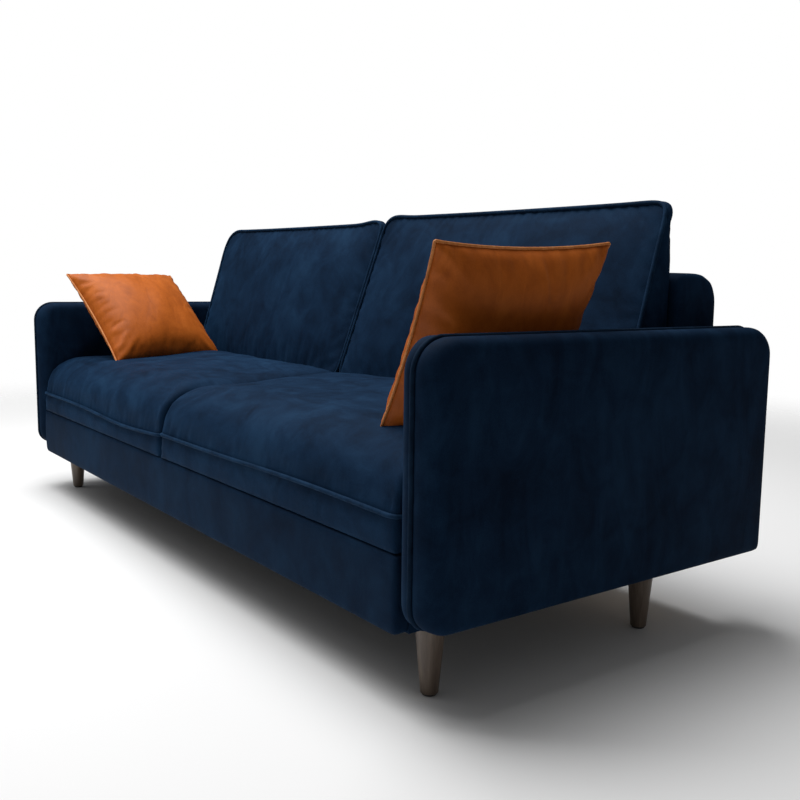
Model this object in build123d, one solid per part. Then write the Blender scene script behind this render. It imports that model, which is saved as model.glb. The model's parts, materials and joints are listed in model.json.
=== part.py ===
from build123d import *
import math
import os

# Three-seat sofa with slim upholstered arms, loose cushions and tapered wooden legs.
# Millimetres.  +X is the right-hand side seen from the front, -Y is the front, +Z is up.
# The origin is on the floor, under the middle of the sofa.

# ---- overall sizes ----
overall_width = 2200.0          # over the two arms
overall_depth = 900.0           # front to rear of the arms
arm_height = 630.0              # floor to the top of the arm piping
arm_underside = 152.0           # floor to the underside of the arms
arm_thickness = 96.0
base_underside = 130.0          # floor to the underside of the seat base
deck_height = 270.0             # floor to the deck that carries the seat cushions
seat_height = 432.0             # floor to the top of a seat cushion
backrest_top = 735.0            # floor to the top of the fixed backrest
backrest_thickness = 136.0
backrest_rear_inset = 62.0      # backrest behind face, in front of the arms' rear edge
front_setback = 13.0            # base front, behind the arms' front edge
back_cushion_top = 884.0

# ---- clearances ----
body_gap = 1.0                  # between pieces that lift apart
fabric_gap = 0.4                # between pieces fixed together
hole_gap = 0.3                  # round a fastener, on the radius
side_gap = 4.0                  # cushion side to the arm, and to its twin at the middle

# ---- arms ----
arm_top_front_radius = 80.0
arm_top_rear_radius = 60.0
arm_bottom_front_radius = 50.0
arm_bottom_rear_radius = 22.0
arm_edge_round = 20.0           # roll of the padding at the arm's two broad faces
arm_panel_thickness = 30.0
arm_pad_border = 25.0           # padding beyond the panel's edge
piping_radius = 4.5
piping_proud = 3.0              # how far the arm piping stands out of the padding
arm_piping_start = 110.0        # under the arm, behind its front edge

# ---- base ----
front_panel_thickness = 28.0
front_panel_corner = 30.0
rail_thickness = 35.0
side_rail_thickness = 45.0
rail_underside_gap = 2.0        # dust cover space under the rails
deck_cloth_thickness = 4.5
spring_space = 7.0              # between the rail tops and the deck cloth
spring_wire = 3.8
spring_count = 10
spring_pitch = 60.0
spring_reach = 22.0             # half width of a spring
spring_bend = 12.0
clip_size = (18.0, 12.0, 6.0)
corner_block_leg = 90.0
dust_cloth_thickness = 1.5
dust_cloth_hole_gap = 3.0

# ---- legs ----
leg_top_radius = 27.0
leg_foot_radius = 16.0
leg_side_inset = 27.0           # leg centre, inside the arm's inner face
leg_front_inset = 107.0
leg_rear_inset = 238.0
plate_thickness = 3.0
plate_radius = 26.0
glide_radius = 13.0
glide_height = 4.0
hanger_radius = 4.0
hanger_reach = 38.0             # into the rail, and into the leg
plate_screw_radius = 2.0
plate_screw_offset = 18.0
plate_screw_length = 28.0
plate_screw_head_radius = 3.8
plate_screw_head_height = 1.6

# ---- frame bolts ----
bolt_radius = 4.0
bolt_head_radius = 8.0
bolt_head_height = 4.0
arm_bolt_bite = 20.0            # into the arm panel
back_bolt_bite = 28.0           # into the rear rail

# ---- backrest ----
backrest_foam = 22.0
backrest_front_round = 28.0
backrest_rear_round = 62.0
backrest_end_pad = 12.0
backrest_rear_seam = 600.0      # floor to the lower edge of the padding behind
back_rail_height = 45.0
post_width = 45.0
webbing_thickness = 2.0
webbing_width = 50.0
webbing_count = 5

# ---- cushions ----
cover_thickness = 3.0
seat_front_round = 92.0
seat_edge_round = 14.0
seat_border_height = 59.0       # deck to the seat piping
seat_piping_radius = 4.0
seat_piping_corner = 30.0
back_cushion_foot = 155.0       # depth at the bottom
back_cushion_crest = 16.0       # depth at the top
back_cushion_side_gap = 17.0    # to the arm
back_cushion_corner = 40.0
back_edge_round = 7.0

# ---- throw pillows ----
pillow_side = 380.0
pillow_thickness = 130.0
pillow_round = 60.0
pillow_cover_thickness = 6.0
pillow_piping_radius = 3.0
right_pillow_lean = 28.5        # degrees from upright
left_pillow_lean = 46.9
right_pillow_turn = -2.7        # degrees about the vertical
left_pillow_turn = 12.0
right_pillow_front = 309.0      # pillow centre, behind the front of the arms
left_pillow_front = 306.0

# ---- places that follow from the sizes ----
y_front = -overall_depth / 2
y_rear = overall_depth / 2
x_outer = overall_width / 2
x_inner = x_outer - arm_thickness
x_arm_middle = x_outer - arm_thickness / 2
y_base_front = y_front + front_setback
y_back_front = y_rear - backrest_rear_inset - backrest_thickness
y_back_rear = y_rear - backrest_rear_inset
z_rail_bottom = base_underside + rail_underside_gap
z_rail_top = deck_height - deck_cloth_thickness - fabric_gap - spring_space
y_core_front = y_back_front + backrest_foam + fabric_gap
y_core_rear = y_back_rear - backrest_foam - fabric_gap
y_rail_front = y_base_front + front_panel_thickness + fabric_gap
y_rail_rear = y_core_front - fabric_gap
x_rail = x_inner - 2 * fabric_gap
x_leg = x_inner - leg_side_inset
leg_spots = {"front": y_front + leg_front_inset, "rear": y_rear - leg_rear_inset}
arm_inset = piping_proud        # the padding's outline, inside the arm's overall outline


def block(x0, x1, y0, y1, z0, z1):
    """A box between two corners."""
    middle = Pos((x0 + x1) / 2, (y0 + y1) / 2, (z0 + z1) / 2)
    return middle * Box(x1 - x0, y1 - y0, z1 - z0)


def rod(radius, start, end):
    """A round bar from one point to another."""
    start, end = Vector(*start), Vector(*end)
    along = end - start
    plane = Plane(origin=start, z_dir=along)
    return extrude(plane * Circle(radius), amount=along.length)


def tube_along(path, radius):
    """A round cord along a wire."""
    return sweep(Plane(origin=path @ 0, z_dir=path % 0) * Circle(radius), path)


def mirrored(shape):
    """The same piece on the other side of the sofa."""
    return mirror(shape, about=Plane.YZ)


def save(name, *shapes):
    """One file per node; several separate solids may share a node."""
    solids = [solid for shape in shapes for solid in shape.solids()]
    export_step(solids[0] if len(solids) == 1 else Compound(children=solids), f"parts/{name}.step")


def save_pair(name, right):
    """A right-hand piece and its mirror image."""
    save(f"{name}_right", right)
    save(f"{name}_left", mirrored(right))


# ---- arms ----
def arm_outline(inset):
    """Side view of the arm, in the YZ plane, a given distance inside its overall outline."""
    y0, y1 = y_front + inset, y_rear - inset
    z0, z1 = arm_underside + inset, arm_height - inset
    radii = [arm_bottom_front_radius, arm_top_front_radius, arm_top_rear_radius, arm_bottom_rear_radius]
    line = FilletPolyline(
        (y0, z0), (y0, z1), (y1, z1), (y1, z0),
        radius=[max(r - inset, 1.0) for r in radii], close=True,
    )
    return make_face(line)


def arm_slab(inset, x0, x1):
    """The arm's outline as a slab between two widths."""
    return extrude(Plane.YZ.offset(x0) * arm_outline(inset), amount=x1 - x0)


def arm_piping_path():
    """Up the front, over the top and down the rear of the arm, at the middle of its thickness."""
    inset = piping_radius
    y0, y1 = y_front + inset, y_rear - inset
    z0, z1 = arm_underside + inset, arm_height - inset
    points = [(y_front + arm_piping_start, z0), (y0, z0), (y0, z1), (y1, z1), (y1, z0)]
    radii = [r - inset for r in (arm_bottom_front_radius, arm_top_front_radius, arm_top_rear_radius)]
    return FilletPolyline(*[(x_arm_middle, y, z) for y, z in points], radius=radii)


def arm_bolt_spots():
    """Places of the bolts between a side rail and its arm, as (y, z)."""
    z = (max(z_rail_bottom, arm_underside) + z_rail_top) / 2
    reach = y_rail_rear - y_rail_front - 2 * rail_thickness
    middle = (y_rail_front + y_rail_rear) / 2
    return [(middle + share * reach, z) for share in (-0.3, 0.0, 0.3)]


def arm_bolt(y, z):
    """A round-headed bolt, from inside the side rail into the arm panel."""
    x_head = x_rail - side_rail_thickness
    x_tip = x_arm_middle - arm_panel_thickness / 2 + arm_bolt_bite
    return rod(bolt_radius, (x_head, y, z), (x_tip, y, z)) + rod(
        bolt_head_radius, (x_head - bolt_head_height, y, z), (x_head, y, z)
    )


def arm_bolt_holes():
    """Clearance holes for the arm bolts, right through rail and padding, blind in the panel."""
    x_tip = x_arm_middle - arm_panel_thickness / 2 + arm_bolt_bite + 1
    x_start = x_rail - side_rail_thickness - 1
    return [rod(bolt_radius + hole_gap, (x_start, y, z), (x_tip, y, z)) for y, z in arm_bolt_spots()]


def make_arms():
    """Panel, the two halves of padding that close round it, and the piping between them."""
    half_panel = arm_panel_thickness / 2
    panel_inset = arm_inset + arm_pad_border
    panel = arm_slab(panel_inset, x_arm_middle - half_panel, x_arm_middle + half_panel)
    half_pocket = half_panel + fabric_gap
    pocket = arm_slab(panel_inset - fabric_gap, x_arm_middle - half_pocket, x_arm_middle + half_pocket)
    path = arm_piping_path()
    groove = tube_along(path, piping_radius + fabric_gap)
    holes = arm_bolt_holes()

    def pad(x0, x1, broad_face):
        slab = arm_slab(arm_inset, x0, x1)
        rim = slab.faces().sort_by(Axis.X)[broad_face].edges()
        return fillet(rim, arm_edge_round) - pocket - groove

    inner = pad(x_inner, x_arm_middle - fabric_gap / 2, 0)
    outer = pad(x_arm_middle + fabric_gap / 2, x_outer, -1)
    for hole in holes:
        inner -= hole
        panel -= hole
    save_pair("arm_panel", panel)
    save_pair("arm_inner_padding", inner)
    save_pair("arm_outer_padding", outer)
    save_pair("arm_piping", tube_along(path, piping_radius))
    bolts = [arm_bolt(y, z) for y, z in arm_bolt_spots()]
    save("arm_bolts", *bolts, *[mirrored(bolt) for bolt in bolts])


# ---- base ----
def hanger_hole(x, y, z0, z1):
    """Hole for a leg's hanger bolt."""
    return rod(hanger_radius + hole_gap, (x, y, z0), (x, y, z1))


def leg_places():
    """Centre of every leg: four corners and one under the middle of the seat."""
    corners = [(side * x_leg, y) for side in (-1, 1) for y in leg_spots.values()]
    return corners + [(0.0, sum(leg_spots.values()) / 2)]


def drill_for_legs(rail):
    """Pilot holes for hanger bolts and plate screws, under whichever rail stands over a leg."""
    for x, y in leg_places():
        rail -= hanger_hole(x, y, z_rail_bottom - 1, z_rail_bottom + hanger_reach + 1)
        for dy in (-plate_screw_offset, plate_screw_offset):
            top = z_rail_bottom + plate_screw_length
            rail -= rod(plate_screw_radius + hole_gap, (x, y + dy, z_rail_bottom - 1), (x, y + dy, top))
    return rail


def spring_places():
    """Middle lines of the seat springs, evenly spaced each side of the centre rail."""
    per_side = spring_count // 2
    first = side_rail_thickness / 2
    last = x_rail - side_rail_thickness
    step = (last - first) / per_side
    right = [first + step * (i + 0.5) for i in range(per_side)]
    return right + [-x for x in right]


def spring_ends():
    """Where a spring's two ends lie over the front and rear rails."""
    return y_rail_front + rail_thickness / 2, y_rail_rear - rail_thickness / 2


def spring(x):
    """A zigzag seat spring from the front rail to the rear rail."""
    y0, y1 = spring_ends()
    turns = max(2, round((y1 - y0) / spring_pitch))
    step = (y1 - y0) / turns
    z = z_rail_top + fabric_gap + spring_wire / 2
    points = []
    for i in range(turns + 1):
        side = spring_reach if i % 2 else -spring_reach
        points += [(x + side, y0 + i * step, z), (x - side, y0 + i * step, z)]
    return tube_along(FilletPolyline(*points, radius=spring_bend), spring_wire / 2)


def spring_clip(x, y):
    """A clip nailed over the end of a spring."""
    width, depth, height = clip_size
    z = z_rail_top + fabric_gap / 2
    body = block(x - width / 2, x + width / 2, y - depth / 2, y + depth / 2, z, z + height)
    wire_z = z_rail_top + fabric_gap + spring_wire / 2
    slot = rod(spring_wire / 2 + hole_gap, (x - width, y, wire_z), (x + width, y, wire_z))
    mouth = block(
        x - width, x + width, y - spring_wire / 2 - hole_gap, y + spring_wire / 2 + hole_gap, z - 1, wire_z
    )
    return body - slot - mouth


def corner_block(side, y, inward):
    """A triangular glue block in a corner of the base."""
    x = side * (x_rail - side_rail_thickness - fabric_gap)
    corner = [(x, y), (x - side * corner_block_leg, y), (x, y + inward * corner_block_leg)]
    outline = make_face(Polyline(*corner, close=True))
    height = (z_rail_top - z_rail_bottom) * 0.6
    return extrude(Pos(0, 0, z_rail_bottom + 8) * outline, amount=height, dir=(0, 0, 1))


def make_base():
    """Rails, blocks, springs, deck cloth, dust cloth and the padded front."""
    x_side = x_rail - side_rail_thickness
    y_in_front = y_rail_front + rail_thickness
    y_in_rear = y_rail_rear - rail_thickness
    front = block(-x_rail, x_rail, y_rail_front, y_in_front - fabric_gap / 2, z_rail_bottom, z_rail_top)
    rear = block(-x_rail, x_rail, y_in_rear + fabric_gap / 2, y_rail_rear, z_rail_bottom, z_rail_top)
    side = block(x_side, x_rail, y_in_front, y_in_rear, z_rail_bottom, z_rail_top)
    centre_half = side_rail_thickness / 2
    centre = block(-centre_half, centre_half, y_in_front, y_in_rear, z_rail_bottom, z_rail_top - 12)
    for hole in arm_bolt_holes():
        side -= hole
    for bolt_x, bolt_z in back_bolt_spots():
        rear -= back_bolt(bolt_x, bolt_z, hole_gap)
    save("front_rail", drill_for_legs(front))
    save("rear_rail", drill_for_legs(rear))
    save_pair("side_rail", drill_for_legs(side))
    save("centre_rail", drill_for_legs(centre))
    save(
        "corner_blocks",
        *[corner_block(s, y_in_front + fabric_gap, 1) for s in (-1, 1)],
        *[corner_block(s, y_in_rear - fabric_gap, -1) for s in (-1, 1)],
    )
    springs = [spring(x) for x in spring_places()]
    save("seat_springs", *springs)
    save("spring_clips", *[spring_clip(x, y) for x in spring_places() for y in spring_ends()])
    deck_z = deck_height - deck_cloth_thickness
    save("deck_cloth", block(-x_rail, x_rail, y_rail_front, y_rail_rear, deck_z, deck_height - fabric_gap))
    save("dust_cloth", dust_cloth())
    save("front_panel", front_panel())


def dust_cloth():
    """Thin cloth closing the underside, cut out round the leg plates."""
    z = base_underside + (rail_underside_gap - dust_cloth_thickness) / 2
    y0, y1 = y_rail_front + fabric_gap, y_rail_rear
    cloth = block(-x_rail + 5, x_rail - 5, y0, y1, z, z + dust_cloth_thickness)
    for x, y in leg_places():
        cloth -= rod(leg_top_radius + dust_cloth_hole_gap, (x, y, z - 5), (x, y, z + 5))
    return cloth


def front_panel():
    """The padded front of the base, with rounded lower corners."""
    x = x_inner - fabric_gap
    radii = [front_panel_corner, front_panel_corner, 6.0, 6.0]
    outline = FilletPolyline(
        (-x, base_underside), (x, base_underside), (x, deck_height - body_gap), (-x, deck_height - body_gap),
        radius=radii, close=True,
    )
    plane = Plane(origin=(0, y_base_front + front_panel_thickness, 0), x_dir=(1, 0, 0), z_dir=(0, -1, 0))
    slab = extrude(plane * make_face(outline), amount=front_panel_thickness)
    return fillet(slab.faces().sort_by(Axis.Y)[0].edges(), 5.0)


# ---- legs ----
def make_legs():
    """Tapered legs, their plates, hanger bolts, screws and glides."""
    hole = hanger_hole(0, 0, z_rail_bottom - plate_thickness - hanger_reach - 1, z_rail_bottom)

    def leg():
        z0, z1 = glide_height, z_rail_bottom - plate_thickness
        cone = Pos(0, 0, (z0 + z1) / 2) * Cone(leg_foot_radius, leg_top_radius, z1 - z0)
        return fillet(cone.edges().filter_by(GeomType.CIRCLE), 1.5) - hole

    names = {}
    for side, sign in (("left", -1), ("right", 1)):
        for end, y in leg_spots.items():
            names[f"leg_{end}_{side}"] = (sign * x_leg, y)
    names["leg_centre"] = leg_places()[-1]
    for name, (x, y) in names.items():
        save(name, Pos(x, y, 0) * leg())

    z_plate = z_rail_bottom - plate_thickness
    plates, bolts, screws, glides = [], [], [], []
    for x, y in leg_places():
        plate = Pos(x, y, z_plate + plate_thickness / 2) * Cylinder(plate_radius, plate_thickness)
        plate -= hanger_hole(x, y, z_plate - 1, z_rail_bottom + 1)
        for dy in (-plate_screw_offset, plate_screw_offset):
            plate -= rod(plate_screw_radius + hole_gap, (x, y + dy, z_plate - 1), (x, y + dy, z_rail_bottom + 1))
            plate -= screw_head(x, y + dy, z_plate, hole_gap)
            shank_top = z_rail_bottom + plate_screw_length - 1
            screws.append(
                rod(plate_screw_radius, (x, y + dy, z_plate), (x, y + dy, shank_top))
                + screw_head(x, y + dy, z_plate, 0.0)
            )
        plates.append(plate)
        bolts.append(
            rod(hanger_radius, (x, y, z_plate - hanger_reach), (x, y, z_rail_bottom + hanger_reach))
        )
        glides.append(Pos(x, y, glide_height / 2) * fillet(
            Cylinder(glide_radius, glide_height).faces().sort_by(Axis.Z)[0].edges(), 1.0))
    save("leg_plates", *plates)
    save("hanger_bolts", *bolts)
    save("plate_screws", *screws)
    save("leg_glides", *glides)


def screw_head(x, y, z, gap):
    """The flat head of a plate screw, let into the plate's underside."""
    return rod(plate_screw_head_radius + gap, (x, y, z), (x, y, z + plate_screw_head_height))


# ---- backrest ----
def back_profile(inset, z_bottom):
    """Side view of the backrest, in the YZ plane, a given distance inside its outer faces."""
    y0, y1 = y_back_front + inset, y_back_rear - inset
    top = backrest_top - inset
    line = FilletPolyline(
        (y0, z_bottom), (y0, top), (y1, top), (y1, z_bottom),
        radius=[1.0, max(backrest_front_round - inset, 2.0), max(backrest_rear_round - inset, 2.0), 1.0],
        close=True,
    )
    return make_face(line)


def back_slab(inset, z_bottom, half_width):
    """The backrest's side view drawn out across the sofa."""
    return extrude(Plane.YZ.offset(-half_width) * back_profile(inset, z_bottom), amount=2 * half_width)


def back_bolt_spots():
    """Places of the bolts through the posts' feet into the rear rail, as (x, z)."""
    posts = post_places()
    return [(x + dx, z_rail_bottom + (z_rail_top - z_rail_bottom) * 0.6) for x in posts for dx in (-12, 12)]


def back_bolt(x, z, gap=0.0):
    """A bolt from behind a post into the rear rail, its head let into the post; gap makes its hole."""
    y_head = y_core_rear - bolt_head_height - 1
    tip = y_rail_rear - back_bolt_bite - gap
    rear = y_head + bolt_head_height if gap == 0.0 else y_core_rear + 1
    shank = rod(bolt_radius + gap, (x, tip, z), (x, y_head, z))
    return shank + rod(bolt_head_radius + gap, (x, y_head - gap, z), (x, rear, z))


def post_places():
    """Middle lines of the three backrest posts."""
    x = x_inner - fabric_gap - backrest_end_pad - fabric_gap - post_width / 2
    return [-x, 0.0, x]


def make_backrest():
    """Timber frame, webbing, padding over the front, top and back, and the panel below it."""
    half = x_inner - fabric_gap
    pocket_half = half - backrest_end_pad
    y_wood = y_core_front + webbing_thickness + fabric_gap
    z_top = backrest_top - backrest_foam - fabric_gap
    z_pad = deck_height + body_gap
    core_half = pocket_half - fabric_gap
    core_round = backrest_rear_round - backrest_foam

    top_rail = block(-core_half, core_half, y_wood, y_core_rear, z_top - back_rail_height, z_top)
    rear_edge = top_rail.edges().filter_by(Axis.X).group_by(Axis.Z)[-1].sort_by(Axis.Y)[-1]
    top_rail = fillet(rear_edge, min(core_round, back_rail_height - 2))
    front_edge = top_rail.edges().filter_by(Axis.X).group_by(Axis.Z)[-1].sort_by(Axis.Y)[0]
    save("backrest_top_rail", fillet(front_edge, max(backrest_front_round - backrest_foam, 2.0)))

    z_post = z_top - back_rail_height - fabric_gap
    lower_top = z_rail_bottom + back_rail_height
    spans = zip(post_places()[:-1], post_places()[1:])
    lower = [
        block(a + post_width / 2 + fabric_gap, b - post_width / 2 - fabric_gap,
              y_wood, y_core_rear, z_rail_bottom, lower_top)
        for a, b in spans
    ]
    save("backrest_lower_rails", *lower)
    for name, x in zip(("left", "middle", "right"), post_places()):
        post = block(x - post_width / 2, x + post_width / 2, y_wood, y_core_rear, z_rail_bottom, z_post)
        for bolt_x, bolt_z in back_bolt_spots():
            post -= back_bolt(bolt_x, bolt_z, hole_gap)
        save(f"backrest_post_{name}", post)
    save("backrest_bolts", *[back_bolt(x, z) for x, z in back_bolt_spots()])

    z_first = deck_height + webbing_width
    z_last = z_post - webbing_width / 2
    step = (z_last - z_first) / (webbing_count - 1)
    strap_y = y_core_front + fabric_gap / 2
    straps = [
        block(-core_half, core_half, strap_y, strap_y + webbing_thickness,
              z_first + i * step - webbing_width / 2, z_first + i * step + webbing_width / 2)
        for i in range(webbing_count)
    ]
    save("backrest_webbing", *straps)

    padding = back_slab(0.0, z_pad, half)
    padding -= back_slab(backrest_foam, z_pad - 10, pocket_half)
    behind = block(-half - 1, half + 1, y_back_rear - backrest_foam - 1, y_rear, z_pad - 5, backrest_rear_seam)
    save("backrest_padding", padding - behind)
    panel = block(-half, half, y_back_rear - backrest_foam, y_back_rear,
                  base_underside, backrest_rear_seam - fabric_gap)
    upright = panel.edges().filter_by(Axis.X).group_by(Axis.Z)[0].sort_by(Axis.Y)[-1]
    save("backrest_rear_panel", fillet(upright, 8.0))


# ---- seat cushions ----
def seat_shape(inset):
    """Boxed seat cushion for the right-hand place, with its deep rounded front edge."""
    x0, x1 = side_gap + inset, x_inner - side_gap - inset
    y0, y1 = y_base_front + inset, y_back_front - side_gap - inset
    z0, z1 = deck_height + inset, seat_height - inset
    edge = seat_edge_round - inset
    line = FilletPolyline(
        (y0, z0), (y0, z1), (y1, z1), (y1, z0),
        radius=[edge, seat_front_round - inset, edge, edge], close=True,
    )
    solid = extrude(Plane.YZ.offset(x0) * make_face(line), amount=x1 - x0)
    ends = [solid.faces().sort_by(Axis.X)[i].edges() for i in (0, -1)]
    return fillet(ends[0] + ends[1], edge - 2.0)


def seat_piping_path():
    """Round the cushion's sides, where the border meets the top panel."""
    proud = 1.0
    x0, x1 = side_gap + seat_piping_radius - proud, x_inner - side_gap - seat_piping_radius + proud
    y0 = y_base_front + seat_piping_radius - proud
    y1 = y_back_front - side_gap - seat_piping_radius + proud
    z = deck_height + seat_border_height
    corners = [(x0, y0), (x1, y0), (x1, y1), (x0, y1)]
    return FilletPolyline(*[(x, y, z) for x, y in corners], radius=seat_piping_corner, close=True)


def make_seat_cushions():
    """Cover, foam and piping of the two seat cushions."""
    path = seat_piping_path()
    groove = tube_along(path, seat_piping_radius + fabric_gap)
    cover = seat_shape(0.0) - seat_shape(cover_thickness + seat_piping_radius * 2) - groove
    foam = seat_shape(cover_thickness + seat_piping_radius * 2 + fabric_gap)
    save_pair("seat_cover", cover)
    save_pair("seat_foam", foam)
    save_pair("seat_piping", tube_along(path, seat_piping_radius))


# ---- back cushions ----
def back_cushion_corners():
    """Side view of a back cushion: bottom front, top front, top rear and bottom rear, as (y, z)."""
    y_rear_face = y_back_front - body_gap
    z0, z1 = seat_height + body_gap, back_cushion_top
    return [
        (y_rear_face - back_cushion_foot, z0), (y_rear_face - back_cushion_crest, z1),
        (y_rear_face, z1), (y_rear_face, z0),
    ]


def back_cushion_shape(inset):
    """Wedge-shaped back cushion for the right-hand place, thick at the foot and thin at the crest."""
    x0, x1 = side_gap + inset, x_inner - back_cushion_side_gap - inset
    corners = back_cushion_corners()
    (fy0, z0), (fy1, z1), (ry1, _), (ry0, _) = corners
    slope = (fy1 - fy0) / (z1 - z0)
    front_shift = inset * math.hypot(1.0, slope)

    def front(z):
        return fy0 + slope * (z - z0) + front_shift

    low = z0 + inset
    high = z1 - inset * 2.0
    points = [(front(low), low), (front(high), high), (ry1 - inset, high), (ry0 - inset, low)]
    crest = (points[2][0] - points[1][0]) * 0.42
    radii = [20.0, min(crest, back_edge_round), min(crest, back_edge_round), 20.0]
    line = FilletPolyline(*points, radius=radii, close=True)
    return extrude(Plane.YZ.offset(x0) * make_face(line), amount=x1 - x0)


def back_piping_path():
    """Round the edge of the cushion's front face."""
    (fy0, z0), (fy1, z1) = back_cushion_corners()[:2]
    rise = Vector(0, fy1 - fy0, z1 - z0)
    plane = Plane(origin=(0, fy0, z0), x_dir=(1, 0, 0), z_dir=Vector(1, 0, 0).cross(rise.normalized()))
    inset = piping_radius
    x0, x1 = side_gap + inset, x_inner - back_cushion_side_gap - inset
    low, high = 16.0, rise.length - inset - 1.0
    corners = [(x0, low), (x1, low), (x1, high), (x0, high)]
    return FilletPolyline(
        *[plane.from_local_coords((x, v, 0)) for x, v in corners], radius=back_cushion_corner, close=True
    )


def make_back_cushions():
    """Cover, filling and piping of the two back cushions."""
    path = back_piping_path()
    groove = tube_along(path, piping_radius + fabric_gap)
    cover = back_cushion_shape(0.0) - back_cushion_shape(cover_thickness) - groove
    filling = back_cushion_shape(cover_thickness + fabric_gap) - groove
    save_pair("back_cover", cover)
    save_pair("back_filling", filling)
    save_pair("back_piping", tube_along(path, piping_radius))


# ---- throw pillows ----
def pillow_shape(inset):
    """A plain pillow standing in the YZ plane, its middle at the origin."""
    side = pillow_side - 2 * inset
    box = Box(pillow_thickness - 2 * inset, side, side)
    return fillet(box.edges(), pillow_round - inset)


def pillow_place(lean, turn, front):
    """Where a pillow rests on the seat cushion and against the arm's rolled inner edge."""
    angle = math.radians(lean)
    flat_half = pillow_side / 2 - pillow_round
    thin_half = pillow_thickness / 2 - pillow_round
    reach = flat_half * math.cos(angle) + thin_half * math.sin(angle) + pillow_round
    z = seat_height + body_gap + reach
    edge_x = x_inner + arm_edge_round
    edge_z = arm_height - arm_inset - arm_edge_round
    away = pillow_thickness / 2 + arm_edge_round + body_gap
    away += flat_half * math.sin(math.radians(abs(turn))) * math.cos(angle)
    x = edge_x - (away + (edge_z - z) * math.sin(angle)) / math.cos(angle)
    return Pos(x, y_front + front, z) * Rot(0, 0, turn) * Rot(0, lean, 0)


def make_pillow(side, lean, turn, front):
    """Cover, insert and piped edge of one throw pillow."""
    half = pillow_side / 2 - 1.0
    corners = [(0, -half, -half), (0, half, -half), (0, half, half), (0, -half, half)]
    path = FilletPolyline(*corners, radius=pillow_round - 1.0, close=True)
    groove = tube_along(path, pillow_piping_radius + fabric_gap)
    cover = pillow_shape(0.0) - pillow_shape(pillow_cover_thickness) - groove
    insert = pillow_shape(pillow_cover_thickness + fabric_gap) - groove
    piping = tube_along(path, pillow_piping_radius)
    place = pillow_place(lean, turn if side == "right" else -turn, front)
    for name, shape in (("cover", cover), ("insert", insert), ("piping", piping)):
        placed = place * shape
        save(f"pillow_{name}_{side}", placed if side == "right" else mirrored(placed))


def main():
    """Build every node."""
    os.makedirs("parts", exist_ok=True)
    make_arms()
    make_base()
    make_legs()
    make_backrest()
    make_seat_cushions()
    make_back_cushions()
    make_pillow("right", right_pillow_lean, right_pillow_turn, right_pillow_front)
    make_pillow("left", left_pillow_lean, left_pillow_turn, left_pillow_front)


main()
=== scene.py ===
import json
import math

import bmesh
import bpy
import numpy as np
from mathutils import Matrix, Vector


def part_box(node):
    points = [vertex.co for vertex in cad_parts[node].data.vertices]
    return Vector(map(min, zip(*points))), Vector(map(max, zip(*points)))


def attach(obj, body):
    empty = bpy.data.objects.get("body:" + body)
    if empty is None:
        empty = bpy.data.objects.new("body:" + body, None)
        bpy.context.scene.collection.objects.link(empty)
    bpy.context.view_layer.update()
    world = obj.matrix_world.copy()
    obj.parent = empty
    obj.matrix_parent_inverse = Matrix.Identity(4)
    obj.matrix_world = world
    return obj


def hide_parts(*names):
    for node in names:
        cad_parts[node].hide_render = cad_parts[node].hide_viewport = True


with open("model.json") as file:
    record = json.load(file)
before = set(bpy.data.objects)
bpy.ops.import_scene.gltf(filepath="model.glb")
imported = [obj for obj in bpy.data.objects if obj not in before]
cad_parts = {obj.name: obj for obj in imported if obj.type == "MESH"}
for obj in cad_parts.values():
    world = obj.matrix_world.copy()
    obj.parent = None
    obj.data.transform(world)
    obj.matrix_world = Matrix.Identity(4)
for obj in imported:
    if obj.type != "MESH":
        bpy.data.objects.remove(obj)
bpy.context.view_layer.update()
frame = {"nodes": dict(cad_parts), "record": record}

# ---- sizes of the soft pieces, metres ----
PIPING = 0.0046                 # radius of the arm and back cushion piping
SEAT_PIPING = 0.0042            # radius of the seat cushion piping
PILLOW_PIPING = 0.0028          # radius of the pillow piping
SEAM_HEIGHT = 0.059             # seat piping above the cushion's underside
WATERFALL = 0.092               # rounding of a seat cushion's front edge
PILLOW_TIPS = {"right": (0.196, 0.215), "left": (0.200, 0.200)}   # half the width and height, tip to tip
PILLOW_BULGE = 0.078            # half a pillow's thickness at its middle
PILLOW_SHIFTS = {"right": (-0.019, -0.013, -0.018), "left": (0.009, 0.0, 0.0)}   # off the CAD pillow's middle
LEANS = {"right": (28.5, -2.7, 1.5), "left": (-46.9, 12.0, 0.0)}   # pillow lean, turn and spin, degrees
BACK_FACE_HEIGHT = 0.735        # top of the fixed backrest
SPLIT_LEAN = 0.028              # how far the seats' split wanders to the left towards the rear
BACK_SPLIT = (-0.036, 0.014)    # shift of the back cushions' split at the foot and at the crest
BACK_SLOPE = 0.007              # fall of a back cushion's crest towards its right end, half of it each way
CORE_DEPTH = 0.004              # how far a filling lies inside its cover
CLOTH_FRAMES = 20
CLOTH = {                       # farthest move, pressure and share of spare fabric
    "seat": (0.012, 4.0, 0.018), "back": (0.012, 3.0, 0.010), "pillow": (0.010, 5.0, 0.018)}


# ======================= small mesh tools =======================
def make_object(name, verts, faces, material, smooth=True):
    """A mesh object at the origin from an (n, 3) array and an (m, 4) array of quads."""
    mesh = bpy.data.meshes.new(name)
    mesh.from_pydata(verts.tolist(), [], faces.tolist())
    mesh.polygons.foreach_set("use_smooth", np.full(len(mesh.polygons), smooth))
    mesh.update()
    obj = bpy.data.objects.new(name, mesh)
    bpy.context.collection.objects.link(obj)
    obj.data.materials.append(material)
    return obj


def grid_quads(ids):
    """Quads between the neighbouring entries of a table of vertex numbers."""
    return np.stack([ids[:-1, :-1], ids[1:, :-1], ids[1:, 1:], ids[:-1, 1:]], -1).reshape(-1, 4)


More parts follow.
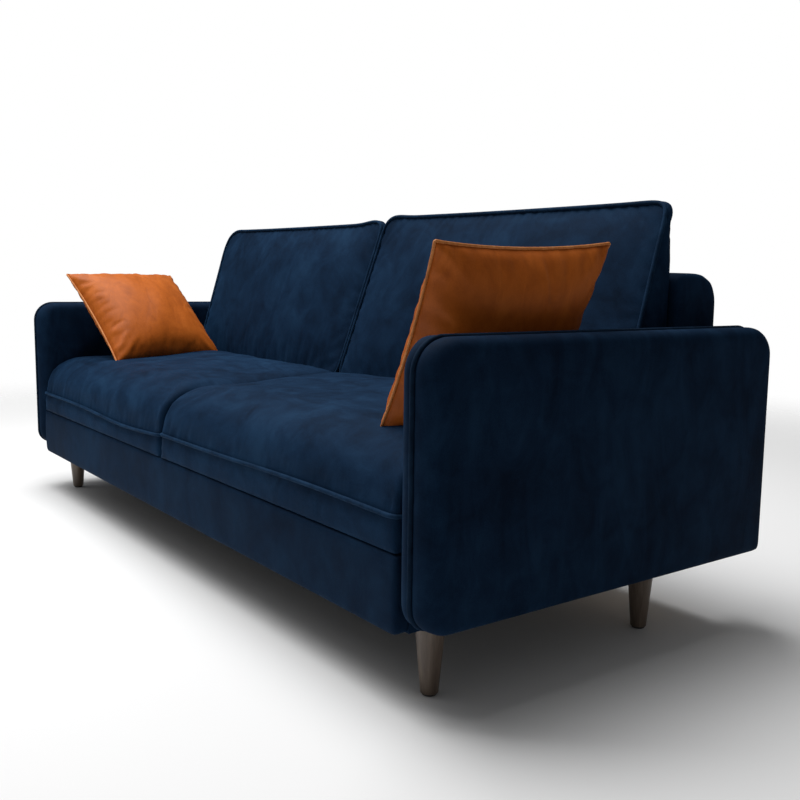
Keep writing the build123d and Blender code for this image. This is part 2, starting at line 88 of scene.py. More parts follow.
def box_shell(nx, ny, nz):
    """The closed surface of a box divided nx by ny by nz: whole-number corners and outward quads."""
    points, quads, start = [], [], 0
    counts = (nx, ny, nz)
    for axis in range(3):
        u, v = (axis + 1) % 3, (axis + 2) % 3
        for side in (0, 1):
            iu, iv = np.meshgrid(np.arange(counts[u] + 1), np.arange(counts[v] + 1), indexing="ij")
            grid = np.zeros(iu.shape + (3,), int)
            grid[..., u], grid[..., v], grid[..., axis] = iu, iv, side * counts[axis]
            ids = start + np.arange(iu.size).reshape(iu.shape)
            quad = grid_quads(ids)
            quads.append(quad if side else quad[:, ::-1])
            points.append(grid.reshape(-1, 3))
            start += iu.size
    corners, index = np.unique(np.concatenate(points), axis=0, return_inverse=True)
    return corners, index.reshape(-1)[np.concatenate(quads)]


def smoothstep(x):
    """0 below 0, 1 above 1 and an s-curve between."""
    t = np.clip(x, 0.0, 1.0)
    return t * t * (3.0 - 2.0 * t)


def vertex_normals(verts, faces):
    """Unit normals at the vertices: the sum of the crossed diagonals of the quads that meet there."""
    across = np.cross(verts[faces[:, 2]] - verts[faces[:, 0]], verts[faces[:, 3]] - verts[faces[:, 1]])
    total = np.zeros_like(verts)
    for corner in range(4):
        np.add.at(total, faces[:, corner], across)
    return total / np.maximum(np.linalg.norm(total, axis=1, keepdims=True), 1e-12)


def relax(verts, faces, rounds, strength=0.5, free=None):
    """Each round moves every vertex part of the way to the mean of its neighbours; free scales the move."""
    a = faces.reshape(-1)
    b = np.roll(faces, -1, axis=1).reshape(-1)
    count = np.zeros(len(verts))
    np.add.at(count, a, 1.0)
    np.add.at(count, b, 1.0)
    out = verts.copy()
    for _ in range(rounds):
        total = np.zeros_like(out)
        np.add.at(total, a, out[b])
        np.add.at(total, b, out[a])
        step = (total / count[:, None] - out) * strength
        out += step if free is None else step * free[:, None]
    return out


def round_corner(u, v, centre_u, centre_v, radius_u, radius_v, side_u, side_v):
    """Bends the rectangular corner beyond a centre into a quarter of an ellipse with the same two radii.

    With both offsets divided by their radii, a point whose larger offset is m goes to the circle of radius m,
    at 45 degrees times the ratio of its smaller offset to its larger one.
    """
    du, dv = (u - centre_u) * side_u / radius_u, (v - centre_v) * side_v / radius_v
    inside = (du > 0) & (dv > 0)
    m = np.maximum(du, dv)
    safe = np.maximum(m, 1e-9)
    angle = np.where(du >= dv, dv / safe, 2.0 - du / safe) * (math.pi / 4)
    new_u = centre_u + side_u * radius_u * m * np.cos(angle)
    new_v = centre_v + side_v * radius_v * m * np.sin(angle)
    return np.where(inside, new_u, u), np.where(inside, new_v, v)


def round_outline(u, v, low, high, radii):
    """Rounds a rectangle's four corners, in the order (low, low), (high, low), (high, high), (low, high)."""
    signs = ((-1, -1), (1, -1), (1, 1), (-1, 1))
    for (su, sv), radius in zip(signs, radii):
        cu = (high[0] - radius) if su > 0 else (low[0] + radius)
        cv = (high[1] - radius) if sv > 0 else (low[1] + radius)
        u, v = round_corner(u, v, cu, cv, radius, radius, su, sv)
    return u, v


def outline_depth(u, v, low, high, radii):
    """Distance inside a rounded rectangle and the unit direction towards its edge."""
    mid_u, mid_v = (low[0] + high[0]) / 2, (low[1] + high[1]) / 2
    right, upper = u > mid_u, v > mid_v
    radius = np.where(right, np.where(upper, radii[2], radii[1]), np.where(upper, radii[3], radii[0]))
    pu, pv = np.abs(u - mid_u), np.abs(v - mid_v)
    qu = pu - (high[0] - low[0]) / 2 + radius
    qv = pv - (high[1] - low[1]) / 2 + radius
    cu, cv = np.maximum(qu, 0.0), np.maximum(qv, 0.0)
    length = np.hypot(cu, cv)
    depth = radius - length - np.minimum(np.maximum(qu, qv), 0.0)
    corner = length > 1e-9
    gu = np.where(corner, cu / np.maximum(length, 1e-9), (qu > qv).astype(float))
    gv = np.where(corner, cv / np.maximum(length, 1e-9), (qu <= qv).astype(float))
    return depth, gu * np.where(right, 1, -1), gv * np.where(upper, 1, -1)


def roll_edge(u, v, w, low, high, radii, face_w, side, reach, fall):
    """Rolls the edge between an outline's rim and a broad face at face_w into a quarter of an ellipse.

    The ellipse takes up reach inwards from the rim and fall down from the face.
    """
    depth, gu, gv = outline_depth(u, v, low, high, radii)
    across, new_w = round_corner(-depth, w, -reach, face_w - side * fall, reach, fall, 1, side)
    shift = across + depth
    return u + gu * shift, v + gv * shift, new_w


def waves(x, seed, lengths):
    """A smooth wandering value about zero: sines of the given wavelengths with seeded phases and shares."""
    rng = np.random.default_rng(seed)
    total = np.zeros_like(x)
    for length in lengths:
        total += rng.uniform(0.6, 1.0) * np.sin(2 * math.pi * x / length + rng.uniform(0, 2 * math.pi))
    return total / len(lengths)


def surface_waves(x, y, seed, lengths):
    """Soft unevenness over two directions: sines along seeded headings."""
    rng = np.random.default_rng(seed)
    total = np.zeros_like(x)
    for length in lengths:
        heading = rng.uniform(0, 2 * math.pi)
        along = x * math.cos(heading) + y * math.sin(heading)
        total += np.sin(2 * math.pi * along / length + rng.uniform(0, 2 * math.pi))
    return total / len(lengths)


def rounded_path(points, radii, closed, step=0.008):
    """Points along straight runs joined by arcs; radii has one value per corner."""
    points = [np.array(p, float) for p in points]
    count = len(points)
    corners = range(count) if closed else range(1, count - 1)
    pieces = [] if closed else [points[0][None]]
    for i, radius in zip(corners, radii):
        before, here, after = points[i - 1], points[i], points[(i + 1) % count]
        a = (before - here) / np.linalg.norm(before - here)
        b = (after - here) / np.linalg.norm(after - here)
        turn = math.acos(np.clip(-(a @ b), -1, 1))
        reach = radius * math.tan(turn / 2)
        bisector = (a + b) / np.linalg.norm(a + b)
        centre = here + bisector * radius / math.cos(turn / 2)
        steps = max(3, int(radius * turn / step))
        start = (here + a * reach - centre) / radius
        end = (here + b * reach - centre) / radius
        t = np.linspace(0, 1, steps + 1)[:, None]
        arc = (np.sin((1 - t) * turn) * start + np.sin(t * turn) * end) / math.sin(turn)
        pieces.append(centre + arc * radius)
    if not closed:
        pieces.append(points[-1][None])
    line = np.concatenate(pieces)
    return resample(line, closed, step)


def resample(line, closed, step):
    """The same line with evenly spaced points."""
    full = np.vstack([line, line[:1]]) if closed else line
    gaps = np.linalg.norm(np.diff(full, axis=0), axis=1)
    keep = np.concatenate([[True], gaps > 1e-7])
    full = full[keep]
    s = np.concatenate([[0.0], np.cumsum(gaps[gaps > 1e-7])])
    count = max(4, int(round(s[-1] / step)))
    at = np.linspace(0, s[-1], count + 1)
    out = np.stack([np.interp(at, s, full[:, k]) for k in range(3)], 1)
    return out[:-1] if closed else out


def tube(path, radius, closed, sides=12, end_shrink=0.35):
    """A round cord along a path: circles in frames carried along it without twist, open ends drawn in."""
    if closed:
        ahead, behind = np.roll(path, -1, axis=0), np.roll(path, 1, axis=0)
    else:
        ahead = np.vstack([path[1:], path[-1:]])
        behind = np.vstack([path[:1], path[:-1]])
    tangent = ahead - behind
    tangent /= np.linalg.norm(tangent, axis=1, keepdims=True)
    seed = np.eye(3)[np.argmin(np.abs(tangent[0]))]
    normal = seed - tangent[0] * (seed @ tangent[0])
    normal /= np.linalg.norm(normal)
    normals = [normal]
    for t in tangent[1:]:
        normal = normals[-1] - t * (normals[-1] @ t)
        normals.append(normal / np.linalg.norm(normal))
    normals = np.array(normals)
    binormals = np.cross(tangent, normals)
    if closed:
        twist = math.atan2(normals[-1] @ binormals[0], normals[-1] @ normals[0])
        share = -twist * np.arange(len(path)) / len(path)
        c, s = np.cos(share)[:, None], np.sin(share)[:, None]
        normals, binormals = normals * c + binormals * s, binormals * c - normals * s
    around = np.linspace(0, 2 * math.pi, sides, endpoint=False)
    size = np.full(len(path), radius)
    if not closed:
        size[[0, -1]] *= end_shrink
    c, s = np.cos(around)[None, :, None], np.sin(around)[None, :, None]
    ring = normals[:, None] * c + binormals[:, None] * s
    verts = (path[:, None] + ring * size[:, None, None]).reshape(-1, 3)
    ids = np.arange(len(verts)).reshape(len(path), sides)
    rows = np.vstack([ids, ids[:1]]) if closed else ids
    cols = np.hstack([rows, rows[:, :1]])
    quads = np.stack([cols[:-1, :-1], cols[:-1, 1:], cols[1:, 1:], cols[1:, :-1]], -1).reshape(-1, 4)
    if closed:
        return verts, quads
    first, last = len(verts), len(verts) + 1
    verts = np.vstack([verts, path[:1], path[-1:]])
    half = np.arange(0, sides, 2)
    start = np.stack([np.full(len(half), first), ids[0, (half + 2) % sides],
                      ids[0, (half + 1) % sides], ids[0, half]], -1)
    end = np.stack([np.full(len(half), last), ids[-1, half], ids[-1, (half + 1) % sides],
                    ids[-1, (half + 2) % sides]], -1)
    return verts, np.vstack([quads, start, end])


def piping(name, path, radius, closed, material, body, node):
    """A piped edge: a tube along a path, on its body, in place of its CAD cord."""
    verts, faces = tube(path, radius, closed)
    obj = make_object(name, verts, faces, material)
    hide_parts(node)
    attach(obj, body)


def padded(name, verts, faces, material, body, node):
    """A soft piece, on its body, in place of its CAD node."""
    obj = make_object(name, verts, faces, material)
    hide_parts(node)
    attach(obj, body)


def simulate(verts, faces, hold, cap, pressure, slack):
    """Lets a closed cover puff up as cloth: pressure from inside, no gravity, points moved at most by cap.

    hold is how firmly each point stays in place, from 0 to 1, and slack is the share of spare fabric. A
    point's move d is shortened to d times cap over the sum of cap and its length.
    """
    mesh = bpy.data.meshes.new("cloth")
    mesh.from_pydata(verts.tolist(), [], faces.tolist())
    obj = bpy.data.objects.new("cloth", mesh)
    bpy.context.collection.objects.link(obj)
    group = obj.vertex_groups.new(name="hold")
    for level in np.unique(np.round(hold, 1)):
        group.add(np.flatnonzero(np.round(hold, 1) == level).tolist(), float(level), "REPLACE")
    cloth = obj.modifiers.new("cloth", "CLOTH")
    settings = cloth.settings
    settings.quality = 5
    settings.mass = 0.3
    settings.tension_stiffness = settings.compression_stiffness = 15.0
    settings.shear_stiffness = 5.0
    settings.bending_stiffness = 0.5
    settings.vertex_group_mass = "hold"
    settings.use_pressure = True
    settings.uniform_pressure_force = pressure
    settings.shrink_min = -slack
    settings.effector_weights.gravity = 0.0
    cloth.collision_settings.use_collision = False
    cloth.point_cache.frame_start, cloth.point_cache.frame_end = 1, CLOTH_FRAMES
    scene = bpy.context.scene
    for number in range(1, CLOTH_FRAMES + 1):
        scene.frame_set(number)
    shown = obj.evaluated_get(bpy.context.evaluated_depsgraph_get()).to_mesh()
    moved = np.zeros(len(verts) * 3)
    shown.vertices.foreach_get("co", moved)
    bpy.data.objects.remove(obj)
    scene.frame_set(1)
    move = moved.reshape(-1, 3) - verts
    length = np.linalg.norm(move, axis=1, keepdims=True)
    return verts + move * cap / (cap + length)


def core(name, verts, faces, body, node):
    """A cushion's filling: its cover's surface moved in along the normals."""
    inside = verts - vertex_normals(verts, faces) * CORE_DEPTH
    padded(name, inside, faces, FOAM, body, node)


def soft_path(path, rounds):
    """Evens out a closed line by moving each point halfway towards the mean of its neighbours."""
    out = path.copy()
    for _ in range(rounds):
        mean = (np.roll(out, 1, axis=0) + np.roll(out, -1, axis=0)) / 2
        out = out + 0.5 * (mean - out)
    return out


def span(node):
    """Lowest and highest corner of a CAD node as arrays."""
    low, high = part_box(node)
    return np.array(low), np.array(high)


def place_grid(corners, counts, low, high):
    """Whole-number corners of a box shell laid over a box."""
    return low + corners / np.array(counts) * (high - low)


# ======================= materials =======================
class Value:
    """A node socket that adds Math nodes when it is used in arithmetic."""

    def __init__(self, graph, socket):
        self.graph = graph
        self.socket = socket

    def _math(self, operation, *inputs):
        return self.graph.node("ShaderNodeMath", {"operation": operation}, inputs)

    def __add__(self, other):
        return self._math("ADD", self, other)

    def __sub__(self, other):
        return self._math("SUBTRACT", self, other)

    def __rsub__(self, other):
        return self._math("SUBTRACT", other, self)

    def __mul__(self, other):
        return self._math("MULTIPLY", self, other)

    __radd__ = __add__
    __rmul__ = __mul__

    def clamp(self):
        """Held between 0 and 1."""
        return self.graph.node("ShaderNodeClamp", {}, (self,))


class Graph:
    """A material's node tree with one way to add a node."""

    def __init__(self, name):
        self.material = bpy.data.materials.new(name)
        self.material.use_nodes = True
        self.tree = self.material.node_tree
        self.shader = self.tree.nodes["Principled BSDF"]

    def node(self, kind, settings, inputs=(), output=0):
        """Adds a node: its settings first, then values or links of its sockets by order or by name."""
        node = self.tree.nodes.new(kind)
        for key, value in settings.items():
            if key == "stops":
                self._stops(node, value)
            else:
                setattr(node, key, value)
        pairs = inputs.items() if isinstance(inputs, dict) else enumerate(inputs)
        for key, value in pairs:
            self.feed(node.inputs[key], value)
        return Value(self, node.outputs[output])

    @staticmethod
    def _stops(node, stops):
        ramp = node.color_ramp
        while len(ramp.elements) < len(stops):
            ramp.elements.new(0.5)
        for element, (position, colour) in zip(ramp.elements, stops):
            element.position = position
            element.color = (*colour, 1.0)

    def feed(self, socket, value):
        """Links a Value, or sets a plain number or colour."""
        if isinstance(value, Value):
            self.tree.links.new(value.socket, socket)
        elif hasattr(value, "__len__") and len(value) == 3 and socket.type == "RGBA":
            socket.default_value = (*value, 1.0)
        else:
            socket.default_value = value

    def surface(self, **inputs):
        """Sets or links the shader's sockets, named with underscores."""
        for key, value in inputs.items():
            self.feed(self.shader.inputs[key.replace("_", " ")], value)
        return self.material

    def place(self, scale=(1.0, 1.0, 1.0), turn=(0.0, 0.0, 0.0)):
        """Object coordinates, stretched and turned."""
        coords = self.node("ShaderNodeTexCoord", {}, (), "Object")
        return self.node("ShaderNodeMapping", {}, {"Vector": coords, "Scale": scale, "Rotation": turn})

    def noise(self, where, scale, detail=2.0, rough=0.5, distortion=0.0):
        """Noise between 0 and 1."""
        return self.node(
            "ShaderNodeTexNoise", {},
            {"Vector": where, "Scale": scale, "Detail": detail, "Roughness": rough, "Distortion": distortion},
            "Fac",
        )

    def ramp(self, factor, stops):
        """A colour by a factor."""
        return self.node("ShaderNodeValToRGB", {"stops": stops}, (factor,), "Color")

    def mix(self, factor, a, b):
        """A colour between two."""
        node = self.tree.nodes.new("ShaderNodeMix")
        node.data_type = "RGBA"
        for index, value in ((0, factor), (6, a), (7, b)):
            self.feed(node.inputs[index], value)
        return Value(self, node.outputs[2])

    def bump(self, height, distance, strength=1.0, under=None):
        """A Bump node over an optional normal."""
        inputs = {"Height": height, "Distance": distance, "Strength": strength}
        if under is not None:
            inputs["Normal"] = under
        return self.node("ShaderNodeBump", {}, inputs, "Normal")


def velvet(name, colours, sheen, sheen_tint, sheen_rough, roughness=0.75, nap=1.0, gloss=0.04):
    """Short-pile velvet: broad patches where the pile lies another way, streaks, and a fine pile grain."""
    g = Graph(name)
    where = g.place()
    patches = g.noise(where, 3.2 * nap, 3.0, 0.55, 0.6)
    strokes = g.noise(g.place((1.0, 2.2, 0.8), (0.3, 0.2, 0.5)), 6.0 * nap, 4.0, 0.6, 1.2)
    grain = g.noise(where, 520.0, 2.0, 0.7)
    mottle = g.noise(where, 14.0 * nap, 4.0, 0.62, 0.8)
    pile = (patches * 0.30 + strokes * 0.40 + mottle * 0.30 + (grain - 0.5) * 0.2).clamp()
    dark, middle, light = colours
    colour = g.ramp(pile, [(0.38, dark), (0.5, middle), (0.62, light)])
    fibre = g.bump(grain, 0.0006, 0.5)
    brushed = g.bump(strokes, 0.004, 0.25, fibre)
    return g.surface(
        Base_Color=colour, Roughness=(roughness + (pile - 0.5) * 0.16), Normal=brushed,
        Sheen_Weight=sheen, Sheen_Tint=sheen_tint, Sheen_Roughness=sheen_rough, Specular_IOR_Level=gloss,
    )


def wood(name, colours, ring_scale, roughness, coat, turn):
    """Straight-grained wood: stretched noise for the grain, finer pores, and darker streaks."""
    g = Graph(name)
    along = g.place((9.0, 9.0, 0.55), turn)
    grain = g.noise(along, ring_scale, 5.0, 0.62, 1.4)
    pores = g.noise(g.place((60.0, 60.0, 2.5), turn), 9.0, 3.0, 0.6)
    tone = (grain * 0.75 + pores * 0.25).clamp()
    colour = g.ramp(tone, [(0.3, colours[0]), (0.5, colours[1]), (0.72, colours[2])])
    return g.surface(
        Base_Color=colour, Roughness=(roughness + (0.5 - pores) * 0.2), Coat_Weight=coat,
        Coat_Roughness=0.3, Normal=g.bump(pores, 0.0004, 0.6),
    )


def metal(name, colour, roughness):
    """Zinc-plated steel with a faint spangle."""
    g = Graph(name)
    spangle = g.noise(g.place(), 160.0, 2.0, 0.5)
    tone = g.mix(spangle, tuple(c * 0.8 for c in colour), colour)
    return g.surface(Base_Color=tone, Metallic=1.0, Roughness=(roughness + (spangle - 0.5) * 0.2))


def moulded(name, colour, roughness):
    """Moulded nylon with a light eggshell texture."""
    g = Graph(name)
    skin = g.noise(g.place(), 700.0, 2.0, 0.6)
    tone = g.mix(skin, tuple(c * 0.85 for c in colour), colour)
    return g.surface(Base_Color=tone, Roughness=roughness, Normal=g.bump(skin, 0.0002, 0.4))


def foam(name):
    """Open-cell foam: pale, with painted shade in its small pores."""
    g = Graph(name)
    cells = g.node("ShaderNodeTexVoronoi", {}, {"Vector": g.place(), "Scale": 420.0}, "Distance")
    # the dark stop at the cell centres is painted shade in the pores
    colour = g.ramp(cells, [(0.1, (0.60, 0.56, 0.42)), (0.45, (0.84, 0.80, 0.66))])
    return g.surface(Base_Color=colour, Roughness=0.9, Normal=g.bump(cells, 0.0008, 0.6))


def woven(name, dark, light, scale):
    """A plain weave: crossed bands."""
    g = Graph(name)
    warp = g.node("ShaderNodeTexWave", {"bands_direction": "X"}, {"Vector": g.place(), "Scale": scale}, "Fac")
    weft = g.node("ShaderNodeTexWave", {"bands_direction": "Y"}, {"Vector": g.place(), "Scale": scale}, "Fac")
    cross = (warp * 0.5 + weft * 0.5).clamp()
    return g.surface(Base_Color=g.mix(cross, dark, light), Roughness=0.85, Normal=g.bump(cross, 0.0005, 0.6))


NAVY = velvet(
    "navy_velvet", ((0.0022, 0.0098, 0.0260), (0.0046, 0.0185, 0.0465), (0.0085, 0.0300, 0.0690)),
    0.06, (0.08, 0.38, 0.90, 1.0), 0.35)
# a darker copy of the navy velvet: painted shade for the arm covers, the base front and the rail wraps
NAVY_SHADED = velvet(
    "navy_velvet_painted_shade",
    ((0.0015, 0.0068, 0.0190), (0.0032, 0.0130, 0.0335), (0.0060, 0.0215, 0.0500)), 0.05,
    (0.08, 0.38, 0.90, 1.0), 0.35)
# darker than the navy velvet: painted shade of the crevices beside the arm piping
NAVY_PIPING_SHADED = velvet(
    "navy_piping", ((0.0020, 0.0070, 0.0170), (0.0038, 0.0125, 0.0290), (0.0065, 0.0190, 0.0420)),
    0.06, (0.12, 0.40, 0.85, 1.0), 0.35, nap=3.0)
# lighter and glossier than the navy velvet: a painted highlight along the cushion piping
NAVY_PIPING_LIT = velvet(
    "navy_cushion_piping_painted_highlight", ((0.0034, 0.0130, 0.0320), (0.0066, 0.0230, 0.0540), (0.0110, 0.0350, 0.0780)),
    0.12, (0.10, 0.40, 0.90, 1.0), 0.30, nap=3.0)
ORANGE = velvet(
    "orange_velvet", ((0.335, 0.076, 0.0085), (0.435, 0.103, 0.0120), (0.520, 0.130, 0.0170)),
    0.05, (1.0, 0.45, 0.15, 1.0), 0.35, roughness=0.45, nap=1.6, gloss=0.12)
# lighter and glossier than the orange velvet: a painted highlight along the pillow piping
ORANGE_PIPING_LIT = velvet(
    "orange_piping", ((0.42, 0.13, 0.028), (0.56, 0.20, 0.055), (0.66, 0.28, 0.10)),
    0.08, (1.0, 0.6, 0.3, 1.0), 0.35, roughness=0.5, nap=5.0, gloss=0.2)
LEG_WOOD = wood(
    "leg_wood", ((0.042, 0.027, 0.018), (0.108, 0.075, 0.052), (0.180, 0.134, 0.098)), 6.0, 0.42, 0.15,
    (0.0, 0.0, 0.0))
FRAME_WOOD = wood(
    "frame_wood", ((0.36, 0.22, 0.11), (0.52, 0.36, 0.20), (0.66, 0.49, 0.30)), 5.0, 0.65, 0.0,
    (0.0, math.pi / 2, 0.0))
PANEL_WOOD = wood(
    "panel_wood", ((0.30, 0.19, 0.10), (0.44, 0.30, 0.17), (0.56, 0.41, 0.25)), 3.0, 0.7, 0.0,
    (math.pi / 2, 0.0, 0.0))
STEEL = metal("steel", (0.62, 0.63, 0.65), 0.34)
NYLON = moulded("clip_plastic", (0.022, 0.022, 0.024), 0.5)
FOAM = foam("foam")
LINING = woven("lining", (0.006, 0.006, 0.007), (0.022, 0.022, 0.024), 260.0)
WEBBING = woven("webbing", (0.02, 0.018, 0.016), (0.10, 0.09, 0.08), 180.0)
FINISHES = {
    "panel_wood": PANEL_WOOD, "frame_wood": FRAME_WOOD, "leg_wood": LEG_WOOD, "steel": STEEL,
    "clip_plastic": NYLON, "foam": FOAM, "lining": LINING, "webbing": WEBBING,
    "navy_velvet": NAVY, "navy_piping": NAVY_PIPING_SHADED, "orange_velvet": ORANGE, "orange_piping": ORANGE_PIPING_LIT,
}


def finish_cad_nodes():
    """Every CAD node that stays gets the material of its slot."""
    for part in frame["record"]["subparts"]:
        obj = frame["nodes"][part["node"]]
        material = FINISHES[part["material_slot"]]
        obj.data.materials.clear()
        obj.data.materials.append(material)


# ======================= arms =======================
ARM_CORNERS = {"front_low": 0.044, "front_top": 0.062, "rear_top": 0.060, "rear_low": 0.016}
ARM_ROLLS = {"front": (0.040, 0.043), "top": (0.017, 0.024), "rest": (0.009, 0.012)}   # reach and fall
ARM_CROWN = 0.006               # how far a broad face swells
ARM_CELLS = (8, 104, 56)
PIPING_LIFT = 0.003             # how far the padding's outline lies inside the piping's


def arm_half(side, part):
    """Half of an arm: a slab with a rolled edge, its broad face crowned, its rim dipping to the seam.

    The box shell's corners are rounded in side view, the edge beside the broad face is rolled to a quarter
    round, and the face swells by a product of two flat-topped bumps.
    """
    node = f"arm_{part}_padding_{side}"
    low, high = span(node)
    sign = 1 if side == "right" else -1
    outward = sign if part == "outer" else -sign
    corners, faces = box_shell(*ARM_CELLS)
    x, y, z = place_grid(corners, ARM_CELLS, low, high).T
    radii = tuple(ARM_CORNERS[k] - PIPING_LIFT for k in ("front_low", "rear_low", "rear_top", "front_top"))
    box_low, box_high = low[1:], high[1:]
    y, z = round_outline(y, z, box_low, box_high, radii)
    face_x = high[0] if outward > 0 else low[0]
    seam_x = low[0] if outward > 0 else high[0]
    _, gy, gz = outline_depth(y, z, box_low, box_high, radii)
    front, top = smoothstep(-gy), smoothstep(gz)
    reach, fall = (
        ARM_ROLLS["rest"][k] + (ARM_ROLLS["front"][k] - ARM_ROLLS["rest"][k]) * front
        + (ARM_ROLLS["top"][k] - ARM_ROLLS["rest"][k]) * top * (1 - front) for k in (0, 1))
    y, z, x = roll_edge(y, z, x, box_low, box_high, radii, face_x, outward, reach, fall)
    depth, gy, gz = outline_depth(y, z, box_low, box_high, radii)
    away = np.abs(x - seam_x)
    broad = smoothstep(away / abs(face_x - seam_x) * 1.6 - 0.6)
    ly = (y - box_low[0]) / (box_high[0] - box_low[0]) * 2 - 1
    lz = (z - box_low[1]) / (box_high[1] - box_low[1]) * 2 - 1
    swell = (1 - np.abs(ly) ** 5) * (1 - np.abs(lz) ** 5)
    uneven = surface_waves(y, z, 11 + (side == "left") * 3 + (part == "outer"), (0.31, 0.23, 0.42))
    x = x + outward * broad * (ARM_CROWN * swell + 0.0012 * uneven * swell)
    dip = 0.0045 * np.exp(-((away / 0.007) ** 2)) * (depth < 0.004)
    pull = 0.0009 * waves(y - z, 5 + (part == "outer"), (0.041, 0.063, 0.027)) * np.exp(-away / 0.02)
    y, z = y - gy * (dip + pull * (depth < 0.02)), z - gz * (dip + pull * (depth < 0.02))
    verts = relax(np.stack([x, y, z], 1), faces, 3, 0.4)
    # the arm covers take the darker copy of the navy velvet: painted shade
    padded(f"arm_{part}_cover_{side}", verts, faces, NAVY_SHADED, "root", node)


def arm_piping(side):
    """The cord round an arm's edge: under the front, up, over the top and down the rear."""
    low, high = span(f"arm_piping_{side}")
    x = (low[0] + high[0]) / 2
    y0, y1, z0, z1 = low[1] + PIPING, high[1] - PIPING, low[2] + PIPING, high[2] - PIPING
    points = [(x, y0 + 0.105, z0), (x, y0, z0), (x, y0, z1), (x, y1, z1), (x, y1, z0 + 0.004)]
    radii = [ARM_CORNERS[k] - PIPING for k in ("front_low", "front_top", "rear_top")]
    path = rounded_path(points, radii, False)
    # the arm's cord takes the darker piping velvet: painted shade
    piping(f"arm_edge_cord_{side}", path, PIPING, False, NAVY_PIPING_SHADED, "root", f"arm_piping_{side}")


# ======================= base and backrest =======================
def front_cover():
    """The padded base front: rounded lower corners, a rolled face and a slight crown."""
    low, high = span("front_panel")
    counts = (230, 5, 20)
    corners, faces = box_shell(*counts)
    x, y, z = place_grid(corners, counts, low, high).T
    box_low, box_high = low[[0, 2]], high[[0, 2]]
    radii = (0.014, 0.014, 0.004, 0.004)
    x, z = round_outline(x, z, box_low, box_high, radii)
    x, z, y = roll_edge(x, z, y, box_low, box_high, radii, low[1], -1, 0.0055, 0.0068)
    height = (z - low[2]) / (high[2] - low[2])
    face = smoothstep((high[1] - y) / (high[1] - low[1]) * 1.5 - 0.5)
    crown = 0.0030 * (1 - np.abs(2 * height - 1) ** 3)
    uneven = 0.0012 * surface_waves(x, z, 21, (0.37, 0.52, 0.29)) + 0.0006 * waves(x, 23, (0.09, 0.14, 0.21))
    y = y - face * (crown + uneven * np.clip(height * (1 - height) * 4, 0, 1))
    verts = relax(np.stack([x, y, z], 1), faces, 2, 0.4)
    # the base front takes the darker copy of the navy velvet: painted shade
    padded("base_front_cover", verts, faces, NAVY_SHADED, "root", "front_panel")


def base_wrap(side):
    """Velvet folded round the lower outer edge of a side rail, and a thin plate of it on the front rail.

    The fold is an L-shaped strip carried along the rail.
    """
    front, rear = span("front_rail"), span("rear_rail")
    sign = 1 if side == "right" else -1
    face = max(front[1][0], span("side_rail_right")[1][0])
    thick, tall, under, plate_width = 0.0007, 0.070, 0.030, 0.060
    bottom = front[0][2]
    profile = np.array([
        (face + thick * 0.95, bottom + tall), (face + thick * 0.95, bottom), (face, bottom - thick),
        (face - under, bottom - thick), (face - under, bottom - 0.1 * thick),
        (face - 0.0002, bottom - 0.1 * thick), (face + 0.0001, bottom + 0.2 * thick),
        (face + 0.0001, bottom + tall)])
    stations = np.linspace(front[0][1] - 0.0002, rear[1][1], 60)
    verts = np.stack(
        [np.broadcast_to(profile[:, 0] * sign, (len(stations), len(profile))),
         np.broadcast_to(stations[:, None], (len(stations), len(profile))),
         np.broadcast_to(profile[:, 1], (len(stations), len(profile)))], -1).reshape(-1, 3)
    ids = np.arange(len(verts)).reshape(len(stations), len(profile))
    ring = np.hstack([ids, ids[:, :1]])
    quads = grid_quads(ring)
    caps = []
    for row, flip in ((0, False), (-1, True)):
        a = ids[row]
        cap = np.array([(a[0], a[7], a[6], a[1]), (a[1], a[6], a[5], a[2]), (a[2], a[5], a[4], a[3])])
        caps.append(cap[:, ::-1] if flip else cap)
    plate_counts = (6, 1, 6)
    plate, plate_faces = box_shell(*plate_counts)
    plate_low = np.array((face - plate_width, front[0][1] - 0.00035, bottom - thick))
    plate_high = np.array((face + thick * 0.9, front[0][1] - 0.00005, bottom + tall))
    plate = place_grid(plate, plate_counts, plate_low, plate_high)
    plate[:, 0] *= sign
    faces = np.vstack([quads] + caps + [plate_faces + len(verts)])
    verts = np.vstack([verts, plate])
    # the rail wrap takes the darker copy of the navy velvet: painted shade
    obj = make_object(f"base_side_wrap_{side}", verts, faces, NAVY_SHADED, smooth=False)
    mesh = bmesh.new()
    mesh.from_mesh(obj.data)
    bmesh.ops.recalc_face_normals(mesh, faces=mesh.faces)
    mesh.to_mesh(obj.data)
    mesh.free()
    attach(obj, "root")


def backrest_cover():
    """The fixed backrest's padding: rounded top front and top rear edges and softened ends."""
    low, high = span("backrest_padding")
    counts = (250, 18, 54)
    corners, faces = box_shell(*counts)
    x, y, z = place_grid(corners, counts, low, high).T
    box_low, box_high = low[1:], high[1:]
    radii, end_roll = (0.004, 0.004, 0.062, 0.030), 0.0039
    y, z = round_outline(y, z, box_low, box_high, radii)
    for side, face_x in ((-1, low[0]), (1, high[0])):
        y, z, x = roll_edge(y, z, x, box_low, box_high, radii, face_x, side, end_roll, end_roll)
    verts = np.stack([x, y, z], 1)
    top = smoothstep((z - low[2]) / (high[2] - low[2]) * 3 - 1.4)
    end = np.minimum(x - low[0], high[0] - x)
    verts = relax(verts, faces, 7, 0.45, 0.25 + 0.75 * top * (end < 0.05))
    normal = vertex_normals(verts, faces)
    lift = 0.0035 * (1 - np.abs(2 * (x - low[0]) / (high[0] - low[0]) - 1) ** 8) * top
    lift += 0.0009 * surface_waves(x, z + y, 31, (0.33, 0.47, 0.26)) * top
    verts = verts + normal * lift[:, None]
    verts[:, 1] = np.where(y < low[1] + 0.02, np.maximum(verts[:, 1], low[1] - 0.0006), verts[:, 1])
    padded("backrest_cover", verts, faces, NAVY, "root", "backrest_padding")


